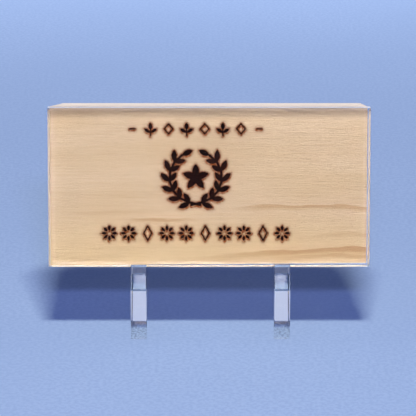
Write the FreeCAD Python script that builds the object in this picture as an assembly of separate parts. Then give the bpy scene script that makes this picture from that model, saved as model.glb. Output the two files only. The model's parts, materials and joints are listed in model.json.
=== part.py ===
"""Engraved wooden plaque with a clear acrylic front, leaning on two clear stand legs.

Millimetres. +Z is up and the plaque faces -Y. The origin is on the surface that the legs
stand on, under the middle of the whole object's box.
"""
import FreeCAD, Part
import math
import os

from FreeCAD import Vector

# Plaque: clear plate, adhesive film and wooden board, from front to back
PLATE_WIDTH = 120.0
PLATE_HEIGHT = 60.0
PLATE_THICKNESS = 5.0
PLATE_CHAMFER = 0.8
FILM_THICKNESS = 0.2
FILM_MARGIN = 1.5
BOARD_THICKNESS = 9.0
BOARD_LEFT_INSET = 0.5          # board's left edge inside the plate's, at its front face
BOARD_RIGHT_INSET = 1.0
BOARD_LEFT_TAPER = 5.0          # how far the left end runs inwards towards the back
BOARD_RIGHT_TAPER = 2.4
BOARD_BOTTOM_RISE = 0.9         # the lower edge was sawn out of square: it rises to the right
BOARD_CHAMFER = 0.3
LEAN_DEG = 10.0                 # the plaque leans back from upright

# Stand legs: one profile cut from sheet, standing on edge
LEG_THICKNESS = 6.0
LEFT_LEG_X = -26.4
RIGHT_LEG_X = 27.4
SHELF_HEIGHT = 28.0             # lower front edge of the plaque above the table
LIP_DEPTH = 3.0
LIP_HEIGHT = 1.0                # how far the lip reaches up the plaque's front
LIP_LAND = 0.7                  # flat on top of the lip, behind its bevel
LIP_BEVEL_HEIGHT = 26.5         # where the front edge meets the lip's bevel
SUPPORT_HEIGHT = 14.0           # back rest, measured along the plaque's back
SUPPORT_DEPTH = 1.5             # width of the back rest's top
KNEE_DEPTH = 37.3               # furthest point back of the leg
KNEE_HEIGHT = 10.4
FOOT_DEPTH = 27.9
LEG_EDGE_BREAK = 0.2
SEAT_GAP = 0.15                 # between a leg and the plaque that rests in it

# Burnt engraving in the board's front face
ENGRAVING_DEPTH = 0.4
ENGRAVING_X = -5.0              # the design sits left of the middle
TOP_ROW_HEIGHT = 51.7
EMBLEM_HEIGHT = 33.4
BOTTOM_ROW_HEIGHT = 12.2
FINE_STROKE = 0.75
BOLD_STROKE = 1.2
TOP_ROW_PITCH = 6.75
TOP_ROW_MARKS = 6
BOTTOM_ROW_PITCH = 7.2
BOTTOM_ROW_MARKS = 10
WREATH_RADIUS = 9.8
WREATH_NODES = 7
WREATH_FIRST_DEG = 12.0         # from straight down, round to the wreath's open top
WREATH_LAST_DEG = 148.0

PLAQUE_THICKNESS = PLATE_THICKNESS + FILM_THICKNESS + BOARD_THICKNESS
BOARD_FRONT = PLATE_THICKNESS + FILM_THICKNESS
LEAN = math.radians(LEAN_DEG)


# ---- engraving: flat shapes in the plane of the board's face ------------------------------

def polar(x, z, radius, degrees):
    """A point at a distance and angle from (x, z), the angle counted from +X."""
    turn = math.radians(degrees)
    return x + radius * math.cos(turn), z + radius * math.sin(turn)


def flat(x, z):
    return Vector(x, 0, z)


def leaf(x, z, length, width, degrees):
    """A pointed leaf of two arcs that starts at (x, z)."""
    tip = polar(x, z, length, degrees)
    middle = polar(x, z, length / 2, degrees)
    left = polar(*middle, width / 2, degrees + 90)
    right = polar(*middle, width / 2, degrees - 90)
    sides = [Part.Arc(flat(x, z), flat(*left), flat(*tip)),
             Part.Arc(flat(*tip), flat(*right), flat(x, z))]
    return [Part.Face(Part.Wire([side.toShape() for side in sides]))]


def bar(x0, z0, x1, z1, width):
    """A straight stroke with round ends."""
    degrees = math.degrees(math.atan2(z1 - z0, x1 - x0))
    half = width / 2
    start = [flat(*polar(x0, z0, half, degrees + turn)) for turn in (90, 180, 270)]
    end = [flat(*polar(x1, z1, half, degrees + turn)) for turn in (-90, 0, 90)]
    edges = [Part.Arc(*start), Part.LineSegment(start[2], end[0]),
             Part.Arc(*end), Part.LineSegment(end[2], start[0])]
    return [Part.Face(Part.Wire([edge.toShape() for edge in edges]))]


def diamond(x, z, width, height, stroke):
    """An open diamond of four strokes."""
    corners = [(x + width / 2, z), (x, z + height / 2), (x - width / 2, z), (x, z - height / 2)]
    shapes = []
    for number, corner in enumerate(corners):
        shapes += bar(*corner, *corners[(number + 1) % 4], stroke)
    return shapes


def sprout(x, z, height, stroke):
    """A short stem with a leaf to each side and a bud on top."""
    foot = z - height / 2
    shapes = bar(x, foot, x, z, stroke)
    shapes += leaf(x, z - height * 0.1, height * 0.6, height * 0.34, 90)
    shapes += leaf(x, z - height * 0.3, height * 0.6, height * 0.3, 35)
    shapes += leaf(x, z - height * 0.3, height * 0.6, height * 0.3, 145)
    return shapes


def flower(x, z, radius, petals, hub):
    """Separate pointed petals round a clear middle."""
    shapes = []
    for number in range(petals):
        turn = 90 + 360 * number / petals
        start = polar(x, z, hub, turn)
        shapes += leaf(*start, radius - hub, radius * 0.42, turn)
    return shapes


def top_row():
    """Dash, alternating sprouts and diamonds, dash."""
    shapes = []
    for number in range(TOP_ROW_MARKS):
        x = ENGRAVING_X + (number - (TOP_ROW_MARKS - 1) / 2) * TOP_ROW_PITCH
        if number % 2 == 0:
            shapes += sprout(x, TOP_ROW_HEIGHT, 5.0, FINE_STROKE)
        else:
            shapes += diamond(x, TOP_ROW_HEIGHT, 3.2, 3.8, FINE_STROKE)
    dash = TOP_ROW_PITCH * (TOP_ROW_MARKS + 1) / 2
    for x in (ENGRAVING_X - dash, ENGRAVING_X + dash):
        shapes += bar(x - 0.9, TOP_ROW_HEIGHT, x + 0.9, TOP_ROW_HEIGHT, FINE_STROKE)
    return shapes


def wreath_side(side):
    """One curved stem with a pair of leaves at each node; side is 1 on the right, -1 left."""
    step = (WREATH_LAST_DEG - WREATH_FIRST_DEG) / (WREATH_NODES - 1)
    turns = [-90 + side * (WREATH_FIRST_DEG + number * step) for number in range(WREATH_NODES)]
    nodes = [polar(ENGRAVING_X, EMBLEM_HEIGHT, WREATH_RADIUS, turn) for turn in turns]
    crossing = polar(ENGRAVING_X, EMBLEM_HEIGHT, WREATH_RADIUS + 0.8, -90 - side * 9)
    shapes = bar(*crossing, *nodes[0], BOLD_STROKE)
    for number, node in enumerate(nodes):
        ahead = turns[number] + side * 90
        if number + 1 < WREATH_NODES:
            shapes += bar(*node, *nodes[number + 1], BOLD_STROKE)
            shapes += leaf(*node, 4.9, 2.3, ahead - side * 36)
            shapes += leaf(*node, 4.5, 2.1, ahead + side * 44)
        else:
            shapes += leaf(*node, 4.6, 2.3, ahead + side * 6)
    return shapes


def emblem():
    """Open laurel wreath round a five-armed star."""
    shapes = wreath_side(1) + wreath_side(-1)
    for number in range(5):
        turn = 90 + 72 * number
        shapes += leaf(*polar(ENGRAVING_X, EMBLEM_HEIGHT, -1.2, turn), 6.4, 2.9, turn)
    return shapes


def bottom_row():
    """Border of flowers and tall diamonds in turn."""
    shapes = []
    for number in range(BOTTOM_ROW_MARKS):
        x = ENGRAVING_X + (number - (BOTTOM_ROW_MARKS - 1) / 2) * BOTTOM_ROW_PITCH
        if number % 3 == 2:
            shapes += diamond(x, BOTTOM_ROW_HEIGHT, 3.0, 5.4, FINE_STROKE)
        else:
            shapes += flower(x, BOTTOM_ROW_HEIGHT, 3.1, 8, 0.8)
    return shapes


def engraving_tools():
    """The engraved shapes as prisms that reach from before the face to the groove floors."""
    overshoot = 0.1
    tools = []
    for face in top_row() + emblem() + bottom_row():
        face.translate(Vector(0, BOARD_FRONT - overshoot, 0))
        tools.append(face.extrude(Vector(0, ENGRAVING_DEPTH + overshoot, 0)))
    return tools


# ---- plaque pieces, drawn upright with the lower front edge on the X axis -----------------

def slab(width, depth, height, y, z=0.0):
    return Part.makeBox(width, depth, height, Vector(-width / 2, y, z))


def edges_at(solid, test):
    return [edge for edge in solid.Edges if test(edge.BoundBox)]


def acrylic_plate():
    plate = slab(PLATE_WIDTH, PLATE_THICKNESS, PLATE_HEIGHT, 0)
    front_edges = edges_at(plate, lambda box: box.YMax < 0.001)
    return plate.makeChamfer(PLATE_CHAMFER, front_edges)


def bond_film():
    width = PLATE_WIDTH - 2 * (BOARD_RIGHT_INSET + FILM_MARGIN)
    height = PLATE_HEIGHT - 2 * FILM_MARGIN
    return slab(width, FILM_THICKNESS, height, PLATE_THICKNESS, FILM_MARGIN)


def wood_board():
    """Board with ends cut inwards to the back and a lower edge that rises to the right."""
    left = -PLATE_WIDTH / 2 + BOARD_LEFT_INSET
    right = PLATE_WIDTH / 2 - BOARD_RIGHT_INSET
    back = BOARD_FRONT + BOARD_THICKNESS
    plan = [(left, BOARD_FRONT), (right, BOARD_FRONT),
            (right - BOARD_RIGHT_TAPER, back), (left + BOARD_LEFT_TAPER, back)]
    outline = Part.makePolygon([Vector(x, y, 0) for x, y in plan + plan[:1]])
    board = Part.Face(outline).extrude(Vector(0, 0, PLATE_HEIGHT))
    wedge = Part.makePolygon([flat(left, 0), flat(right, 0), flat(right, BOARD_BOTTOM_RISE),
                              flat(left, 0)])
    board = board.cut(Part.Face(wedge).extrude(Vector(0, 2 * back, 0)))
    back_edges = edges_at(board, lambda box: box.YMin > back - 0.001)
    board = board.makeChamfer(BOARD_CHAMFER, back_edges)
    return board.cut(engraving_tools()).Solids[0]


def lean_back(solid):
    """Tip a plaque piece back and lift it to its seat on the legs."""
    solid = solid.copy()
    solid.rotate(Vector(0, 0, 0), Vector(1, 0, 0), -LEAN_DEG)
    solid.translate(Vector(0, LIP_DEPTH - KNEE_DEPTH / 2, SHELF_HEIGHT))
    return solid


# ---- stand leg ------------------------------------------------------------------------------

def from_seat(depth, height):
    """Side-view point (y, z) given by its depth and height in the leaning plaque's directions."""
    y = LIP_DEPTH + depth * math.cos(LEAN) + height * math.sin(LEAN)
    z = SHELF_HEIGHT - depth * math.sin(LEAN) + height * math.cos(LEAN)
    return y, z


def rounded_outline(corners):
    """Closed side-view wire through (y, z, radius) corners, each corner an arc."""
    points = [Vector(0, y, z) for y, z, radius in corners]
    edges = []
    ends = []
    for number, (y, z, radius) in enumerate(corners):
        corner = points[number]
        to_last = (points[number - 1] - corner).normalize()
        to_next = (points[(number + 1) % len(points)] - corner).normalize()
        half_angle = to_last.getAngle(to_next) / 2
        reach = radius / math.tan(half_angle)
        centre = corner + (to_last + to_next).normalize() * (radius / math.sin(half_angle))
        top = centre + (corner - centre).normalize() * radius
        start = corner + to_last * reach
        end = corner + to_next * reach
        edges.append(Part.Arc(start, top, end).toShape())
        ends.append((start, end))
    for number, (start, end) in enumerate(ends):
        edges.append(Part.LineSegment(end, ends[(number + 1) % len(ends)][0]).toShape())
    return Part.Wire(Part.__sortEdges__(edges))


def stand_leg(centre_x):
    """Front edge, bevelled lip, sloping seat, back rest, knee and foot, as one cut profile."""
    seat_front = from_seat(-SEAT_GAP, -SEAT_GAP)
    seat_back = from_seat(PLAQUE_THICKNESS + SEAT_GAP, -SEAT_GAP)
    lip_back = from_seat(-SEAT_GAP, LIP_HEIGHT)
    rest_front = from_seat(PLAQUE_THICKNESS + SEAT_GAP, SUPPORT_HEIGHT)
    rest_back = from_seat(PLAQUE_THICKNESS + SEAT_GAP + SUPPORT_DEPTH, SUPPORT_HEIGHT)
    outline = rounded_outline([
        (0, 0, 0.4),
        (0, LIP_BEVEL_HEIGHT, 0.4),
        (lip_back[0] - LIP_LAND, lip_back[1], 0.4),
        (*lip_back, 0.3),
        (*seat_front, 0.2),
        (*seat_back, 0.5),
        (*rest_front, 0.5),
        (*rest_back, 0.8),
        (KNEE_DEPTH, KNEE_HEIGHT, 0.6),
        (FOOT_DEPTH, 0, 0.6)])
    leg = Part.Face(outline).extrude(Vector(LEG_THICKNESS, 0, 0))
    rims = edges_at(leg, lambda box: box.XLength < 0.001)
    leg = leg.makeChamfer(LEG_EDGE_BREAK, rims)
    leg.translate(Vector(centre_x - LEG_THICKNESS / 2, -KNEE_DEPTH / 2, 0))
    return leg


def main():
    pieces = {
        "acrylic_plate": lean_back(acrylic_plate()),
        "bond_film": lean_back(bond_film()),
        "wood_board": lean_back(wood_board()),
        "left_leg": stand_leg(LEFT_LEG_X),
        "right_leg": stand_leg(RIGHT_LEG_X),
    }
    os.makedirs("parts", exist_ok=True)
    for name, solid in pieces.items():
        solid.exportStep("parts/" + name + ".step")
        box = solid.BoundBox
        low = [round(value, 2) for value in (box.XMin, box.YMin, box.ZMin)]
        high = [round(value, 2) for value in (box.XMax, box.YMax, box.ZMax)]
        print(name, "valid" if solid.isValid() else "INVALID", round(solid.Volume, 1), low, high)


main()
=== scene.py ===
"""Looks for an engraved wooden plaque behind a clear plate, leaning on two clear stand legs.

The plaque's pieces are drawn in millimetres on the upright plaque: X to the right and Z up from
the plate's lower front edge, Y into the plaque. The board's object carries that onto the
leaning plaque, in metres.
"""
import json
import math

import bmesh
import bpy
import numpy as np
from mathutils import Matrix, Vector
from mathutils.geometry import delaunay_2d_cdt


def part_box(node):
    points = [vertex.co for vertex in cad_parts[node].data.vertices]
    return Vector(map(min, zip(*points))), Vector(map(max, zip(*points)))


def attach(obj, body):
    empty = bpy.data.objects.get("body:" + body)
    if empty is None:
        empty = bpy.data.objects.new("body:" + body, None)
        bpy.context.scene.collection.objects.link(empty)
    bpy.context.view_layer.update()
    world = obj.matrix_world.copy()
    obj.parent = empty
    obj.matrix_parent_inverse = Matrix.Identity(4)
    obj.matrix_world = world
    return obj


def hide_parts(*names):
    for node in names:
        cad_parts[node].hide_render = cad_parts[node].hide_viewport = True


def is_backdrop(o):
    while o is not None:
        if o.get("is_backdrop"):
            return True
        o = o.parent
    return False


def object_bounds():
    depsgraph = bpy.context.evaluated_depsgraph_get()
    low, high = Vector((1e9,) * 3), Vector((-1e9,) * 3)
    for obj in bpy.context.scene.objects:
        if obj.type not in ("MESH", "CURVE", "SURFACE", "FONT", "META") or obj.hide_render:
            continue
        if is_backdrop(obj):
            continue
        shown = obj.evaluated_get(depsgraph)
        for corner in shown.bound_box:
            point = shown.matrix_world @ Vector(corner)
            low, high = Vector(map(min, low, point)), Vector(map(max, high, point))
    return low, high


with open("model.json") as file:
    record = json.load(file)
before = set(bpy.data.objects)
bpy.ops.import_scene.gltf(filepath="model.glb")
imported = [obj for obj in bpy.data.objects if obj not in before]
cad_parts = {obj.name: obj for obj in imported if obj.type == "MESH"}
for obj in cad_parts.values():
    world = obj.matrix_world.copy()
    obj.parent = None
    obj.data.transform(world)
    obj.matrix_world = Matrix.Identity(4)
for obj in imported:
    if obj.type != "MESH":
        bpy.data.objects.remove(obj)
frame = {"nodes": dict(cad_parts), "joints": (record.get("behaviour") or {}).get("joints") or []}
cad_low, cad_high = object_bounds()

MM = 0.001

# The plaque's layers, as cut: plate, film and board
PLATE_THICKNESS = 5.0
PLATE_HEIGHT = 60.0
FILM_HALF_WIDTH = 57.5
FILM_MARGIN = 1.5               # above and below
FILM_SHOWN = 0.16               # a hair thinner than its gap
BOARD_FRONT = 5.2
BOARD_BACK = 14.2
BOARD_LEFT = -59.5
BOARD_RIGHT = 59.0
BOARD_LEFT_TAPER = 5.0
BOARD_RIGHT_TAPER = 2.4
BOARD_BOTTOM_RISE = 0.9         # from left to right
BOARD_CHAMFER = 0.3

# The burnt design
ENGRAVING_DEPTH = 0.4
GROOVE_WALL = 0.16
ENGRAVING_X = -5.0
TOP_ROW_HEIGHT = 51.7
EMBLEM_HEIGHT = 33.4
BOTTOM_ROW_HEIGHT = 12.2
FINE_STROKE = 0.75
BOLD_STROKE = 1.2
TOP_ROW_PITCH = 6.75
TOP_ROW_MARKS = 6
SPROUT_HEIGHT = 5.0
SMALL_DIAMOND = (3.2, 3.8)      # width, height
DASH_HALF_LENGTH = 0.9
BOTTOM_ROW_PITCH = 7.2
BOTTOM_ROW_MARKS = 10
TALL_DIAMOND = (3.0, 5.4)
FLOWER_RADIUS = 3.1
FLOWER_HUB = 0.8
FLOWER_PETALS = 8
WREATH_RADIUS = 9.8
WREATH_NODES = 7
WREATH_FIRST_DEG = 12.0         # from the wreath's lowest point
WREATH_LAST_DEG = 148.0
STEM_END_DEG = 9.0              # each stem ends this far past the lowest point
STEM_END_OUT = 0.8
OUTER_LEAF = (4.9, 2.3, -36.0)  # length, width, degrees inwards from the stem's run
INNER_LEAF = (4.5, 2.1, 44.0)
TIP_LEAF = (4.6, 2.3, 6.0)
STAR_ARMS = 5
STAR_ARM = (6.4, 2.9)
STAR_OVERLAP = 1.2              # how far past the middle each arm starts

# The burn's colour, by distance from the strokes' edges
CHAR_INSIDE = 0.14              # where the char is half strength
CHAR_EDGE = 0.22
SCORCH_FADE = 0.36
SCORCH_REACH = 1.9
SCORCH_DRIFT = 0.25             # the scorch hangs this far below the strokes

# The board's face mesh: points along its outline, then spacings with the nearest and farthest
# distance from the strokes that each covers
OUTLINE_ACROSS = 49
OUTLINE_UP = 25
FACE_MARGIN = 1.2
FACE_SPACINGS = ((0.2, -9.0, 0.7), (0.5, 0.7, 2.2), (2.4, 2.2, 999.0))
ROW_SHARE = 0.87                # rows this close make near-equilateral triangles
SHARP_FROM_DEG = 38.0

# Brown streaks in the wood, each a shallow arc: its crown's height and place, its bend, the
# widths of its sharp upper and soft lower edge, where it starts, is full, still holds and is
# gone, and its strength
STREAKS = (
    (22.9, 34.0, 0.0012, 0.3, 1.6, 2.0, 24.0, 58.0, 90.0, 0.6),
    (7.0, 60.0, 0.0011, 0.4, 2.0, -12.0, 34.0, 80.0, 99.0, 0.75),
    (4.4, 62.0, 0.0009, 0.5, 1.6, 6.0, 44.0, 80.0, 99.0, 0.5),
    (12.5, 64.0, 0.0010, 0.5, 1.5, 24.0, 56.0, 80.0, 99.0, 0.3),
    (17.9, -12.0, 0.0020, 0.35, 1.2, -33.0, -24.0, -18.0, 2.0, 0.6),
    (20.6, -30.0, 0.0012, 0.4, 1.2, -58.0, -44.0, -38.0, -12.0, 0.22))

# The clear pieces
INDEX_OF_ACRYLIC = 1.49
SCUFFS = 0.02                   # roughness of the smears on polished faces
PLATE_FROST = 0.36              # roughness of the sawn edges
LEG_FROST = 0.06
SAWN_WHITE = 0.26               # how far saw marks whiten the plate's edges

# From here on in metres. Camera: a long lens, looking down
VIEW_PITCH_DEG = 20.0
SENSOR_MM = 36.0
FOCAL_MM = 259.615
VIEW_DISTANCE = 1.1204
AIM_RIGHT = -0.0004
AIM_DOWN = 0.0078

# The two lamps in front: azimuth, elevation, distance, power, and their colours on the object
# and on the floor
FRONT_LAMPS = (
    ("key", 4, 60, 1.6, 34.0, (1.0, 0.985, 0.96), (1.33, 1.26, 1.01)),
    ("fill", 2, 30, 1.8, 20.0, (0.97, 0.98, 1.0), (0.68, 0.74, 1.32)))
BROAD_BOX = (1.2, 0.3)
COMPACT_BOX = (0.3, 0.12)
PLAQUE_SHARE = 1.3              # shares of those powers that light the plaque and the legs
LEG_SHARE = 0.055
REAR_AZIMUTH = 168
REAR_ELEVATION = 4
REAR_DISTANCE = 1.6
REAR_POWER = 19.0
REAR_COLOUR = (1.0, 0.96, 0.89)
SWEEP_PLACE = Vector((0.1, 0.8, 0.35))
SWEEP_BOX = (2.2, 0.3)
SWEEP_POWER = 15.0
SWEEP_SPREAD_DEG = 144.0
SWEEP_COLOUR = (0.96, 0.98, 1.0)

# The surround is dark within a cone straight in front, and brightens towards the back
CONE_COLOUR = (0.01, 0.012, 0.016)
SURROUND = (0.055, 0.107, 0.34)
BACKDROP = (0.54, 0.60, 0.82)
DARK_CONE_DEG = 5.0
DARK_UNTIL = 0.009              # shares of the way from the cone's edge to straight behind
BRIGHT_FROM = 0.72

# The paper on the floor
PAPER_SHADES = ((0.176, 0.24, 0.372, 1), (0.186, 0.252, 0.388, 1))
PAPER_SPECKS = (0.160, 0.222, 0.354, 1)
FLOOR_REACH = 4.0
FLOOR_FRONT = 1.25              # the paper ends behind the camera, out of the plate's reflection
FLOOR_DROP = 0.1 * MM           # a hair under the feet, so that no two faces lie in one plane


# ---- the leaning plaque's place, read from the frame ----------------------------------------

lift = next(joint for joint in frame["joints"] if joint["name"] == "plaque_lift")
lift_axis = Vector(lift["axis"])
LEAN = math.atan2(lift_axis.y, lift_axis.z)
plate_low, plate_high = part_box("acrylic_plate")
seat = Vector((
    (plate_low.x + plate_high.x) / 2,
    plate_high.y - (PLATE_THICKNESS * math.cos(LEAN) + PLATE_HEIGHT * math.sin(LEAN)) * MM,
    plate_low.z + PLATE_THICKNESS * math.sin(LEAN) * MM))
PLAQUE_PLACE = Matrix.Translation(seat) @ Matrix.Rotation(-LEAN, 4, "X") @ Matrix.Scale(MM, 4)
LEGS = ("left_leg", "right_leg")


# ---- small node helpers -----------------------------------------------------------------------

class Nodes:
    """A material's node tree with short ways to add and join nodes."""

    def __init__(self, name):
        self.material = bpy.data.materials.new(name)
        self.material.use_nodes = True
        self.tree = self.material.node_tree
        self.tree.nodes.clear()
        self.output = self.tree.nodes.new("ShaderNodeOutputMaterial")

    def put(self, socket, value):
        """Links another node's output to a socket, or sets it to a plain value."""
        if isinstance(value, bpy.types.NodeSocket):
            self.tree.links.new(value, socket)
        else:
            socket.default_value = value

    def add(self, kind, **values):
        """A node; values whose names are its properties are set, the rest go to its sockets."""
        node = self.tree.nodes.new("ShaderNode" + kind)
        for name in [name for name in values if hasattr(node, name)]:
            setattr(node, name, values.pop(name))
        for name, value in values.items():
            self.put(node.inputs[name.replace("_", " ")], value)
        return node

    def math(self, operation, *values):
        """The result of one sum."""
        node = self.tree.nodes.new("ShaderNodeMath")
        node.operation = operation
        for socket, value in zip(node.inputs, values):
            self.put(socket, value)
        return node.outputs[0]

    def remap(self, value, low, high, to_low=0.0, to_high=1.0):
        """A smooth step between two values, as value goes from low to high."""
        node = self.add("MapRange", interpolation_type="SMOOTHSTEP")
        for socket, number in zip(node.inputs, (value, low, high, to_low, to_high)):
            self.put(socket, number)
        return node.outputs[0]

    def mix(self, amount, first, second, blend="MIX"):
        """The first colour with the second blended over it."""
        node = self.tree.nodes.new("ShaderNodeMix")
        node.data_type = "RGBA"
        node.blend_type = blend
        for index, value in ((0, amount), (6, first), (7, second)):
            self.put(node.inputs[index], value)
        return node.outputs[2]

    def noise(self, place, scale, stretch=(1, 1, 1), detail=3.0, roughness=0.5, distortion=0.0):
        """Noise that is drawn out along the axes with a small stretch value."""
        mapped = self.add("Mapping", Vector=place, Scale=stretch)
        node = self.add("TexNoise", Vector=mapped.outputs[0], Scale=scale, Detail=detail,
                        Roughness=roughness, Distortion=distortion)
        return node.outputs["Fac"]

    def finish(self, shader):
        """The finished material, with the shader on its surface."""
        self.tree.links.new(shader.outputs[0], self.output.inputs["Surface"])
        return self.material


def linear(red, green, blue):
    """A colour given as 0 to 255 screen values, as scene-linear RGBA."""
    def one(value):
        value /= 255
        return value / 12.92 if value <= 0.04045 else ((value + 0.055) / 1.055) ** 2.4
    return one(red), one(green), one(blue), 1.0


# ---- materials --------------------------------------------------------------------------------

def with_streaks(n, place, axes, colour):
    """Brown streaks that follow the growth rings, sharp above and fading below."""
    x, height = axes.outputs["X"], axes.outputs["Z"]
    wander = n.math("MULTIPLY", n.math("SUBTRACT", n.noise(place, 0.09, (0.6, 1, 1)), 0.5), 3.0)
    ragged = n.noise(place, 0.5, (0.12, 1.0, 1.4), detail=4.0, roughness=0.65)
    torn = n.math("MULTIPLY", n.math("SUBTRACT", ragged, 0.5), 2.4)
    level = n.math("ADD", n.math("ADD", height, wander), torn)
    for crown, peak, bend, sharp, soft, start, full, hold, gone, strength in STREAKS:
        along = n.math("SUBTRACT", x, peak)
        sag = n.math("MULTIPLY", bend, n.math("MULTIPLY", along, along))
        above = n.math("SUBTRACT", level, n.math("SUBTRACT", crown, sag))
        body = n.math("MULTIPLY", n.remap(above, -soft * 1.6, -sharp), n.remap(above, sharp, 0.0))
        reach = n.math("MULTIPLY", n.remap(x, start, full), n.remap(x, gone, hold))
        amount = n.math("MULTIPLY", n.math("MULTIPLY", body, reach), strength)
        colour = n.mix(amount, colour, linear(202, 150, 106))
    return colour


def with_painted_edge_shade(n, axes, colour):
    """Painted shade along the face's top and bottom, duller sawn sides, and a painted cool shade
    on the top edge.
    """
    height = axes.outputs["Z"]
    # Painted shade: the face darkens towards its top, where the plate's top edge bends lamp light
    # away from the wood, and along its lowest edge
    for start, full, shade in (
            (55.4, 57.2, (0.86, 0.84, 0.86, 1)),
            (58.2, 59.4, (0.82, 0.73, 0.66, 1)),
            (2.2, 0.8, (0.85, 0.82, 0.80, 1))):
        colour = n.mix(n.remap(height, start, full), colour, shade, "MULTIPLY")
    # Sides, top and back greyer than the face: partly the sawn grain's own tone, partly painted
    # shade against the lamps' strong direct light
    sides = n.remap(axes.outputs["Y"], BOARD_FRONT + 0.45, BOARD_FRONT + 0.6, 0.0, 0.75)
    colour = n.mix(sides, colour, linear(212, 193, 176))
    # Painted cool shade on the top face, which the lamps above light strongly
    on_top = n.remap(height, PLATE_HEIGHT - 0.2, PLATE_HEIGHT - 0.05)
    return n.mix(on_top, colour, (0.83, 0.92, 0.98, 1), "MULTIPLY")


def with_flecks(n, place, colour):
    """Small dark pores and flecks."""
    pores = n.noise(place, 1.1, (0.3, 1.0, 1.0), detail=1.0)
    flecks = n.noise(place, 9.0, (0.2, 1.0, 1.0), detail=1.0)
    fleck = n.math("MULTIPLY", n.remap(pores, 0.66, 0.72), n.remap(flecks, 0.55, 0.7))
    return n.mix(n.math("MULTIPLY", fleck, 0.55), colour, linear(150, 104, 70))


def with_burns(n, place, colour):
    """Brown scorch round the strokes, near black inside them."""
    scorch = n.add("Attribute", attribute_name="scorch").outputs["Fac"]
    char = n.add("Attribute", attribute_name="char").outputs["Fac"]
    smoke = n.noise(place, 1.4, detail=4.0, roughness=0.65)
    haze = n.math("MULTIPLY", scorch, n.remap(smoke, 0.25, 0.75, 0.45, 1.25))
    colour = n.mix(n.math("MINIMUM", haze, 1.0), colour, linear(150, 68, 6))
    ember = n.noise(place, 3.0, detail=3.0, roughness=0.7)
    burnt = n.mix(n.remap(ember, 0.35, 0.75), linear(20, 0, 0), linear(54, 12, 0))
    return n.mix(n.remap(char, 0.25, 0.75), colour, burnt)


def wood_material():
    """Sanded pale softwood: fine level grain, warmer low down in part as painted light, with
    streaks, flecks, burns and painted edge shade.
    """
    n = Nodes("engraved_wood")
    place = n.add("TexCoord").outputs["Object"]
    axes = n.add("SeparateXYZ", Vector=place)
    broad = n.noise(place, 0.05, (0.35, 1.0, 1.6), detail=2.0)
    lines = n.noise(place, 1.5, (0.035, 0.6, 1.0), detail=4.0, roughness=0.6, distortion=0.3)
    fibre = n.noise(place, 6.0, (0.05, 1.0, 1.0), detail=3.0, roughness=0.7)
    # Lighter and warmer low down: partly the wood's own tone, partly painted light that evens out
    # the lamps' fall-off down the face
    low_down = n.remap(axes.outputs["Z"], 24.0, 4.0, 0.0, 0.75)
    colour = n.mix(n.remap(broad, 0.3, 0.7), linear(238, 210, 177), linear(231, 201, 164))
    colour = n.mix(low_down, colour, linear(245, 213, 165))
    colour = n.mix(n.remap(lines, 0.42, 0.75, 0.0, 0.26), colour, linear(214, 174, 134))
    colour = n.mix(n.remap(fibre, 0.42, 0.75, 0.0, 0.24), colour, linear(204, 162, 122))
    colour = with_streaks(n, place, axes, colour)
    colour = with_painted_edge_shade(n, axes, colour)
    colour = with_flecks(n, place, colour)
    colour = with_burns(n, place, colour)

    relief = n.math("ADD", n.math("MULTIPLY", lines, 0.6), fibre)
    bump = n.add("Bump", Strength=0.35, Distance=0.05, Height=relief)
    rough = n.remap(lines, 0.3, 0.7, 0.62, 0.74)
    shader = n.add("BsdfPrincipled", Base_Color=colour, Roughness=rough, Normal=bump.outputs[0])
    shader.inputs["Specular IOR Level"].default_value = 0.15
    return n.finish(shader)


def acrylic_material(name, tint, face, frost, stands):
    """Clear cast acrylic: polished sheet faces, with sawn edges and chamfers as rough as frost.

    face is the direction of the sheet's polished faces. A piece that stands on the table shows
    it through its underside; one that doesn't has edges whitened by saw marks.
    """
    n = Nodes(name)
    coordinates = n.add("TexCoord")
    place = coordinates.outputs["Object"]
    smear = n.noise(place, 90.0, detail=2.0)
    rough = n.remap(smear, 0.55, 0.8, 0.0, SCUFFS)
    facing = n.add("VectorMath", operation="DOT_PRODUCT")
    n.put(facing.inputs[0], coordinates.outputs["Normal"])
    n.put(facing.inputs[1], face)
    axes = n.add("SeparateXYZ", Vector=place)
    level = n.math("ABSOLUTE", facing.outputs["Value"])
    sawn = n.remap(level, 0.6, 0.4)
    # The narrow chamfers are frosted too, except along the plate's top
    below = n.remap(axes.outputs["Z"], plate_high.z - 0.7 * MM, plate_high.z - 1.1 * MM)
    edge = n.math("MAXIMUM", sawn, n.math("MULTIPLY", n.remap(level, 0.95, 0.8), below))
    rough = n.math("MAXIMUM", rough, n.math("MULTIPLY", edge, frost))
    clear = n.add("BsdfPrincipled", Base_Color=tint, Roughness=rough)
    clear.inputs["IOR"].default_value = INDEX_OF_ACRYLIC
    clear.inputs["Transmission Weight"].default_value = 1.0
    if stands:
        # The underside lets the table through, less towards the back and where it is marked
        under = n.remap(axes.outputs["Z"], 0.3 * MM, 0.1 * MM)
        towards_front = n.remap(axes.outputs["Y"], 9 * MM, -6 * MM, 0.6, 1.0)
        marks = n.noise(place, 1100.0, (1.0, 0.5, 1.0), detail=2.0)
        touching = n.math("MULTIPLY", towards_front, n.remap(marks, 0.42, 0.6, 1.0, 0.62))
        share = n.math("MULTIPLY", under, touching)
        other = n.add("BsdfTransparent", Color=(1.0, 1.0, 0.96, 1.0))
    else:
        share = n.math("MULTIPLY", sawn, SAWN_WHITE)
        other = n.add("BsdfDiffuse", Color=(0.82, 0.8, 0.84, 1.0))
    blend = n.add("MixShader")
    for socket, value in zip(blend.inputs, (share, clear.outputs[0], other.outputs[0])):
        n.put(socket, value)
    return n.finish(blend)


def film_material():
    """Clear adhesive sheet, seen only as a slightly warm layer between plate and board."""
    n = Nodes("adhesive_film")
    shader = n.add("BsdfTransparent", Color=(0.985, 0.98, 0.965, 1.0))
    return n.finish(shader)


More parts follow.
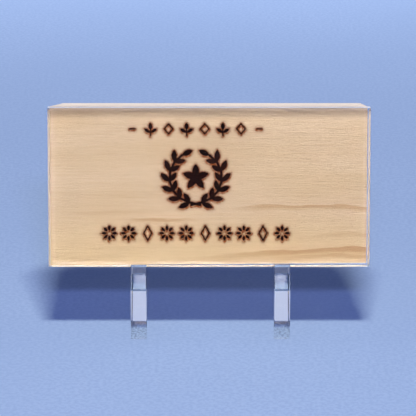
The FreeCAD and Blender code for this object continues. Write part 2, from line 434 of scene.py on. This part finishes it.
def paper_material():
    """Pale blue studio paper, faintly mottled, with a fine tooth."""
    n = Nodes("studio_paper")
    place = n.add("TexCoord").outputs["Object"]
    mottle = n.noise(place, 7.0, detail=3.0)
    tooth = n.noise(place, 700.0, detail=3.0)
    colour = n.mix(n.remap(mottle, 0.35, 0.65), *PAPER_SHADES)
    colour = n.mix(n.remap(tooth, 0.38, 0.62), colour, PAPER_SPECKS)
    bump = n.add("Bump", Strength=0.15, Distance=0.0002, Height=tooth)
    shader = n.add("BsdfPrincipled", Base_Color=colour, Roughness=0.85, Normal=bump.outputs[0])
    shader.inputs["Specular IOR Level"].default_value = 0.2
    return n.finish(shader)


# ---- the burnt design as distances from its strokes -------------------------------------------

def polar(x, z, radius, degrees):
    """The point at a distance and direction from (x, z)."""
    turn = math.radians(degrees)
    return x + radius * math.cos(turn), z + radius * math.sin(turn)


def leaf(x, z, length, width, degrees):
    """A pointed leaf of two arcs that starts at (x, z)."""
    middle_x, middle_z = polar(x, z, length / 2, degrees)
    turn = math.radians(degrees)
    radius = (length ** 2 / 4 + width ** 2 / 4) / width
    offset = radius - width / 2

    def distance(px, pz):
        along = (px - middle_x) * math.cos(turn) + (pz - middle_z) * math.sin(turn)
        across = (pz - middle_z) * math.cos(turn) - (px - middle_x) * math.sin(turn)
        return np.hypot(along, np.abs(across) + offset) - radius
    return [distance]


def bar(x0, z0, x1, z1, width):
    """A straight stroke with round ends."""
    run_x, run_z = x1 - x0, z1 - z0

    def distance(px, pz):
        share = ((px - x0) * run_x + (pz - z0) * run_z) / (run_x ** 2 + run_z ** 2)
        share = np.clip(share, 0, 1)
        return np.hypot(px - x0 - share * run_x, pz - z0 - share * run_z) - width / 2
    return [distance]


def diamond(x, z, width, height, stroke):
    """An outlined diamond."""
    corners = [(x + width / 2, z), (x, z + height / 2), (x - width / 2, z), (x, z - height / 2)]
    shapes = []
    for number, corner in enumerate(corners):
        shapes += bar(*corner, *corners[(number + 1) % 4], stroke)
    return shapes


def sprout(x, z, height, stroke):
    """A stem with one leaf upright and one to each side."""
    shapes = bar(x, z - height / 2, x, z, stroke)
    shapes += leaf(x, z - height * 0.1, height * 0.6, height * 0.34, 90)
    shapes += leaf(x, z - height * 0.3, height * 0.6, height * 0.3, 35)
    shapes += leaf(x, z - height * 0.3, height * 0.6, height * 0.3, 145)
    return shapes


def flower(x, z):
    """Petals round an open middle."""
    shapes = []
    for number in range(FLOWER_PETALS):
        turn = 90 + 360 * number / FLOWER_PETALS
        root = polar(x, z, FLOWER_HUB, turn)
        shapes += leaf(*root, FLOWER_RADIUS - FLOWER_HUB, FLOWER_RADIUS * 0.42, turn)
    return shapes


def top_row():
    """Dash, alternating sprouts and diamonds, dash."""
    shapes = []
    for number in range(TOP_ROW_MARKS):
        x = ENGRAVING_X + (number - (TOP_ROW_MARKS - 1) / 2) * TOP_ROW_PITCH
        if number % 2 == 0:
            shapes += sprout(x, TOP_ROW_HEIGHT, SPROUT_HEIGHT, FINE_STROKE)
        else:
            shapes += diamond(x, TOP_ROW_HEIGHT, *SMALL_DIAMOND, FINE_STROKE)
    dash = TOP_ROW_PITCH * (TOP_ROW_MARKS + 1) / 2
    for x in (ENGRAVING_X - dash, ENGRAVING_X + dash):
        left, right = x - DASH_HALF_LENGTH, x + DASH_HALF_LENGTH
        shapes += bar(left, TOP_ROW_HEIGHT, right, TOP_ROW_HEIGHT, FINE_STROKE)
    return shapes


def wreath_side(side):
    """A curved stem with two leaves at each node but the last; side is 1 right and -1 left."""
    step = (WREATH_LAST_DEG - WREATH_FIRST_DEG) / (WREATH_NODES - 1)
    turns = [-90 + side * (WREATH_FIRST_DEG + number * step) for number in range(WREATH_NODES)]
    nodes = [polar(ENGRAVING_X, EMBLEM_HEIGHT, WREATH_RADIUS, turn) for turn in turns]
    stem_end = polar(ENGRAVING_X, EMBLEM_HEIGHT, WREATH_RADIUS + STEM_END_OUT,
                     -90 - side * STEM_END_DEG)
    shapes = bar(*stem_end, *nodes[0], BOLD_STROKE)
    for number, node in enumerate(nodes):
        leaves = (TIP_LEAF,)
        if number + 1 < WREATH_NODES:
            shapes += bar(*node, *nodes[number + 1], BOLD_STROKE)
            leaves = (OUTER_LEAF, INNER_LEAF)
        for length, width, inwards in leaves:
            shapes += leaf(*node, length, width, turns[number] + side * (90 + inwards))
    return shapes


def emblem():
    """Open laurel wreath round a star."""
    shapes = wreath_side(1) + wreath_side(-1)
    for number in range(STAR_ARMS):
        turn = 90 + 360 * number / STAR_ARMS
        root = polar(ENGRAVING_X, EMBLEM_HEIGHT, -STAR_OVERLAP, turn)
        shapes += leaf(*root, *STAR_ARM, turn)
    return shapes


def bottom_row():
    """Border of two flowers, then a tall diamond, and so on."""
    shapes = []
    for number in range(BOTTOM_ROW_MARKS):
        x = ENGRAVING_X + (number - (BOTTOM_ROW_MARKS - 1) / 2) * BOTTOM_ROW_PITCH
        if number % 3 == 2:
            shapes += diamond(x, BOTTOM_ROW_HEIGHT, *TALL_DIAMOND, FINE_STROKE)
        else:
            shapes += flower(x, BOTTOM_ROW_HEIGHT)
    return shapes


DESIGN = top_row() + emblem() + bottom_row()


def to_strokes(x, z):
    """Distance from each point to the nearest stroke's edge, negative inside a stroke."""
    nearest = np.full(len(x), 1e3)
    for distance in DESIGN:
        nearest = np.minimum(nearest, distance(x, z))
    return nearest


# ---- the board --------------------------------------------------------------------------------

def board_bottom(x):
    """Height of the board's sawn lower edge."""
    return BOARD_BOTTOM_RISE * (x - BOARD_LEFT) / (BOARD_RIGHT - BOARD_LEFT)


def grid(spacing):
    """Points in staggered rows over the board's face, clear of its edges."""
    row_step = spacing * ROW_SHARE
    rows = np.arange(BOARD_BOTTOM_RISE + FACE_MARGIN, PLATE_HEIGHT - FACE_MARGIN, row_step)
    columns = np.arange(BOARD_LEFT + FACE_MARGIN, BOARD_RIGHT - FACE_MARGIN, spacing)
    z, x = np.meshgrid(rows, columns, indexing="ij")
    x = x + np.where(np.arange(len(rows)) % 2, spacing / 2, 0)[:, None]
    x, z = x.ravel(), z.ravel()
    inside = x < BOARD_RIGHT - FACE_MARGIN / 2
    return x[inside], z[inside]


def face_points():
    """Outline points, then face points that crowd together near the strokes."""
    across = np.linspace(BOARD_LEFT, BOARD_RIGHT, OUTLINE_ACROSS)
    up = np.linspace(0, 1, OUTLINE_UP)[1:-1]
    x = [across, across, np.full(len(up), BOARD_LEFT), np.full(len(up), BOARD_RIGHT)]
    z = [board_bottom(across), np.full(len(across), PLATE_HEIGHT), up * PLATE_HEIGHT,
         BOARD_BOTTOM_RISE + up * (PLATE_HEIGHT - BOARD_BOTTOM_RISE)]
    for spacing, near, far in FACE_SPACINGS:
        grid_x, grid_z = grid(spacing)
        away = to_strokes(grid_x, grid_z)
        keep = (away > near) & (away <= far)
        x.append(grid_x[keep])
        z.append(grid_z[keep])
    return np.concatenate(x), np.concatenate(z)


def engraved_depth(away):
    """Groove depth at a distance from the strokes' edges: steep walls and a level floor."""
    wall = np.clip(-away / GROOVE_WALL + 0.5, 0, 1)
    return ENGRAVING_DEPTH * wall * wall * (3 - 2 * wall)


def wood_board():
    """The board: an engraved face, ends that run inwards, chamfered back edges."""
    x, z = face_points()
    points = [Vector(pair) for pair in zip(x.tolist(), z.tolist())]
    points, _, faces, *_ = delaunay_2d_cdt(points, [], [], 0, 1e-5, False)
    x = np.array([point.x for point in points])
    z = np.array([point.y for point in points])
    away = to_strokes(x, z)
    depth = BOARD_FRONT + engraved_depth(away)

    mesh = bmesh.new()
    verts = [mesh.verts.new(place) for place in zip(x.tolist(), depth.tolist(), z.tolist())]
    for face in faces:
        mesh.faces.new([verts[index] for index in face])
    rim = [edge for edge in mesh.edges if edge.is_boundary]
    for y, inset in ((BOARD_BACK - BOARD_CHAMFER, 0.0), (BOARD_BACK, BOARD_CHAMFER)):
        rim = extrude_rim(mesh, rim, y, inset)
    bmesh.ops.contextual_create(mesh, geom=rim)
    bmesh.ops.recalc_face_normals(mesh, faces=mesh.faces)

    data = bpy.data.meshes.new("engraved_board")
    mesh.to_mesh(data)
    mesh.free()
    mark_burns(data)
    data.shade_smooth()
    data.set_sharp_from_angle(angle=math.radians(SHARP_FROM_DEG))
    board = bpy.data.objects.new("engraved_board", data)
    bpy.context.collection.objects.link(board)
    board.matrix_world = PLAQUE_PLACE
    data.materials.append(wood_material())
    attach(board, "plaque")
    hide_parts("wood_board")


def extrude_rim(mesh, rim, y, inset):
    """Carries the rim back to depth y, its ends running inwards, and returns the new rim."""
    made = bmesh.ops.extrude_edge_only(mesh, edges=rim)["geom"]
    share = (y - BOARD_FRONT) / (BOARD_BACK - BOARD_FRONT)
    for vert in [item for item in made if isinstance(item, bmesh.types.BMVert)]:
        vert.co = board_section(vert.co, y, share, inset)
    return [item for item in made if isinstance(item, bmesh.types.BMEdge)]


def board_section(point, y, share, inset):
    """Where a point of the board's outline lies at depth y."""
    at_bottom = abs(point.z - board_bottom(point.x)) < 0.01
    left = BOARD_LEFT + BOARD_LEFT_TAPER * share + inset
    right = BOARD_RIGHT - BOARD_RIGHT_TAPER * share - inset
    across = (point.x - BOARD_LEFT) / (BOARD_RIGHT - BOARD_LEFT)
    x = left + across * (right - left)
    z = board_bottom(x) + inset if at_bottom else min(point.z, PLATE_HEIGHT - inset)
    return Vector((x, y, z))


def mark_burns(data):
    """Point attributes: char inside the strokes, and scorch that fades out round them."""
    place = np.zeros(len(data.vertices) * 3)
    data.vertices.foreach_get("co", place)
    x, y, z = place.reshape(-1, 3).T
    on_face = y < BOARD_FRONT + ENGRAVING_DEPTH + 0.01
    away = to_strokes(x, z)
    char = np.clip(0.5 - (away + CHAR_INSIDE) / CHAR_EDGE, 0, 1) * on_face
    smoked = np.minimum(away, to_strokes(x, z + SCORCH_DRIFT))
    scorch = np.exp(-np.maximum(smoked - 0.1, 0) / SCORCH_FADE)
    scorch = np.where(smoked > SCORCH_REACH, 0, scorch) * on_face
    for name, values in (("char", char), ("scorch", scorch)):
        data.attributes.new(name, "FLOAT", "POINT").data.foreach_set("value", values)


# ---- clear pieces, which keep their CAD shapes --------------------------------------------------

def dress(node, material):
    """Gives a CAD node its looks."""
    data = frame["nodes"][node].data
    data.materials.clear()
    data.materials.append(material)


def film():
    """The adhesive sheet, thinner than its gap so that no two faces lie in one plane."""
    data = bpy.data.meshes.new("adhesive_film")
    mesh = bmesh.new()
    bmesh.ops.create_cube(mesh, size=1.0)
    middle = Vector((0, (PLATE_THICKNESS + BOARD_FRONT) / 2, PLATE_HEIGHT / 2))
    size = Vector((2 * FILM_HALF_WIDTH, FILM_SHOWN, PLATE_HEIGHT - 2 * FILM_MARGIN))
    for vert in mesh.verts:
        vert.co = middle + vert.co * size
    mesh.to_mesh(data)
    mesh.free()
    sheet = bpy.data.objects.new("adhesive_film", data)
    bpy.context.collection.objects.link(sheet)
    sheet.matrix_world = PLAQUE_PLACE
    data.materials.append(film_material())
    sheet.visible_shadow = False
    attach(sheet, "plaque")
    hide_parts("bond_film")


def clear_pieces():
    """The plate, the film and the two legs."""
    facing = (0.0, -math.cos(LEAN), math.sin(LEAN))
    plate = acrylic_material("plate_acrylic", (0.985, 0.988, 0.99, 1.0), facing, PLATE_FROST,
                             stands=False)
    dress("acrylic_plate", plate)
    film()
    leg = acrylic_material("leg_acrylic", (0.97, 0.975, 0.985, 1.0), (1, 0, 0), LEG_FROST,
                           stands=True)
    # Clear acrylic hardly darkens the floor, so the legs cast no shadow
    for name in LEGS:
        dress(name, leg)
        frame["nodes"][name].visible_shadow = False


# ---- studio -------------------------------------------------------------------------------------

def floor():
    """Plain pale paper under the feet."""
    data = bpy.data.meshes.new("paper_floor")
    corners = [(-FLOOR_REACH, -FLOOR_FRONT, -FLOOR_DROP), (FLOOR_REACH, -FLOOR_FRONT, -FLOOR_DROP),
               (FLOOR_REACH, FLOOR_REACH, -FLOOR_DROP), (-FLOOR_REACH, FLOOR_REACH, -FLOOR_DROP)]
    data.from_pydata(corners, [], [(0, 1, 2, 3)])
    data.materials.append(paper_material())
    paper = bpy.data.objects.new("paper_floor", data)
    bpy.context.collection.objects.link(paper)
    paper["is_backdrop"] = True


def area_light(name, lit, place, aim, box, power, colour, mirrored):
    """A soft box that lights one group of objects; mirrored says if clear pieces show it."""
    data = bpy.data.lights.new(name, "AREA")
    data.shape = "RECTANGLE"
    data.size, data.size_y = box
    data.energy = power
    data.color = colour
    lamp = bpy.data.objects.new(name, data)
    lamp.location = place
    lamp.rotation_euler = aim.to_track_quat("-Z", "Y").to_euler()
    lamp.light_linking.receiver_collection = lit
    lamp.visible_camera = False
    lamp.visible_glossy = mirrored
    lamp.visible_transmission = mirrored
    bpy.context.collection.objects.link(lamp)
    return lamp


def from_middle(azimuth, elevation, distance):
    """A step out from the object's middle; azimuth is 0 in front and 90 to the right."""
    turn, rise = math.radians(azimuth), math.radians(elevation)
    return distance * Vector((
        math.sin(turn) * math.cos(rise), -math.cos(turn) * math.cos(rise), math.sin(rise)))


def group(name, objects):
    """A collection that lamps can be limited to."""
    made = bpy.data.collections.new(name)
    for item in objects:
        made.objects.link(item)
    return made


def surround():
    """A blue world, dark just where the flat plate would mirror it and bright at the back.

    The clear legs gather the bright part, which lies behind the object.
    """
    world = bpy.data.worlds.new("studio")
    world.use_nodes = True
    tree = world.node_tree
    looking = tree.nodes.new("ShaderNodeTexCoord").outputs["Generated"]
    axes = tree.nodes.new("ShaderNodeSeparateXYZ")
    tree.links.new(looking, axes.inputs[0])
    along = tree.nodes.new("ShaderNodeMapRange")
    along.inputs["From Min"].default_value = -math.cos(math.radians(DARK_CONE_DEG))
    tree.links.new(axes.outputs["Y"], along.inputs[0])
    shade = tree.nodes.new("ShaderNodeValToRGB")
    tree.links.new(along.outputs[0], shade.inputs[0])
    stops = shade.color_ramp.elements
    stops.new(DARK_UNTIL)
    stops.new(BRIGHT_FROM)
    for stop, colour in zip(stops, (CONE_COLOUR, SURROUND, SURROUND, BACKDROP)):
        stop.color = (*colour, 1.0)
    tree.links.new(shade.outputs[0], tree.nodes["Background"].inputs["Color"])
    bpy.context.scene.world = world


def lights():
    """Two lamps in front and above, a soft one behind, and one over the far floor."""
    legs = [frame["nodes"][name] for name in LEGS]
    shown = [item for item in bpy.data.objects if item.type == "MESH"]
    on_floor = group("floor_receivers", [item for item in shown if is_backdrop(item)])
    on_legs = group("leg_receivers", legs)
    on_plaque = group("plaque_receivers", [item for item in shown
                                           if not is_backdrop(item) and item not in legs])
    middle = (cad_low + cad_high) / 2

    # Compact lamps give the floor its two stepped shadow edges. Broader ones in the same places
    # light the object, because light that bends through the plate needs a larger source.
    for name, azimuth, elevation, distance, power, colour, tint in FRONT_LAMPS:
        out = from_middle(azimuth, elevation, distance)
        for suffix, lit, box, share, shine, mirrored in (
                ("", on_plaque, BROAD_BOX, PLAQUE_SHARE, colour, True),
                ("_legs", on_legs, BROAD_BOX, LEG_SHARE, colour, True),
                ("_floor", on_floor, COMPACT_BOX, 1.0, tint, False)):
            area_light(name + suffix, lit, middle + out, -out, box, power * share, shine, mirrored)

    # The board's back isn't left in the dark
    out = from_middle(REAR_AZIMUTH, REAR_ELEVATION, REAR_DISTANCE)
    area_light("rear", on_plaque, middle + out, -out, BROAD_BOX, REAR_POWER, REAR_COLOUR, False)

    # The far floor brightens as it would where a paper sweep turns up
    sweep = area_light("sweep", on_floor, SWEEP_PLACE, Vector((0, 0, -1)), SWEEP_BOX, SWEEP_POWER,
                       SWEEP_COLOUR, False)
    sweep.data.spread = math.radians(SWEEP_SPREAD_DEG)
    sweep.light_linking.blocker_collection = on_floor


def rendering():
    """Plain colours, and no clamp on the light that the clear pieces gather."""
    scene = bpy.context.scene
    scene.view_settings.view_transform = "Standard"
    scene.cycles.sample_clamp_indirect = 0.0


def camera():
    """Long lens, looking down on the plaque from the front."""
    data = bpy.data.cameras.new("camera")
    data.sensor_width = SENSOR_MM
    data.lens = FOCAL_MM
    data.clip_end = 20.0
    pitch = math.radians(VIEW_PITCH_DEG)
    ahead = Vector((0, math.cos(pitch), -math.sin(pitch)))
    up = Vector((0, math.sin(pitch), math.cos(pitch)))
    target = (plate_low + plate_high) / 2 + Vector((AIM_RIGHT, 0, 0)) - up * AIM_DOWN
    eye = bpy.data.objects.new("camera", data)
    eye.location = target - ahead * VIEW_DISTANCE
    eye.rotation_euler = ahead.to_track_quat("-Z", "Y").to_euler()
    bpy.context.collection.objects.link(eye)
    bpy.context.scene.camera = eye


camera()
floor()
clear_pieces()
wood_board()
surround()
lights()
rendering()
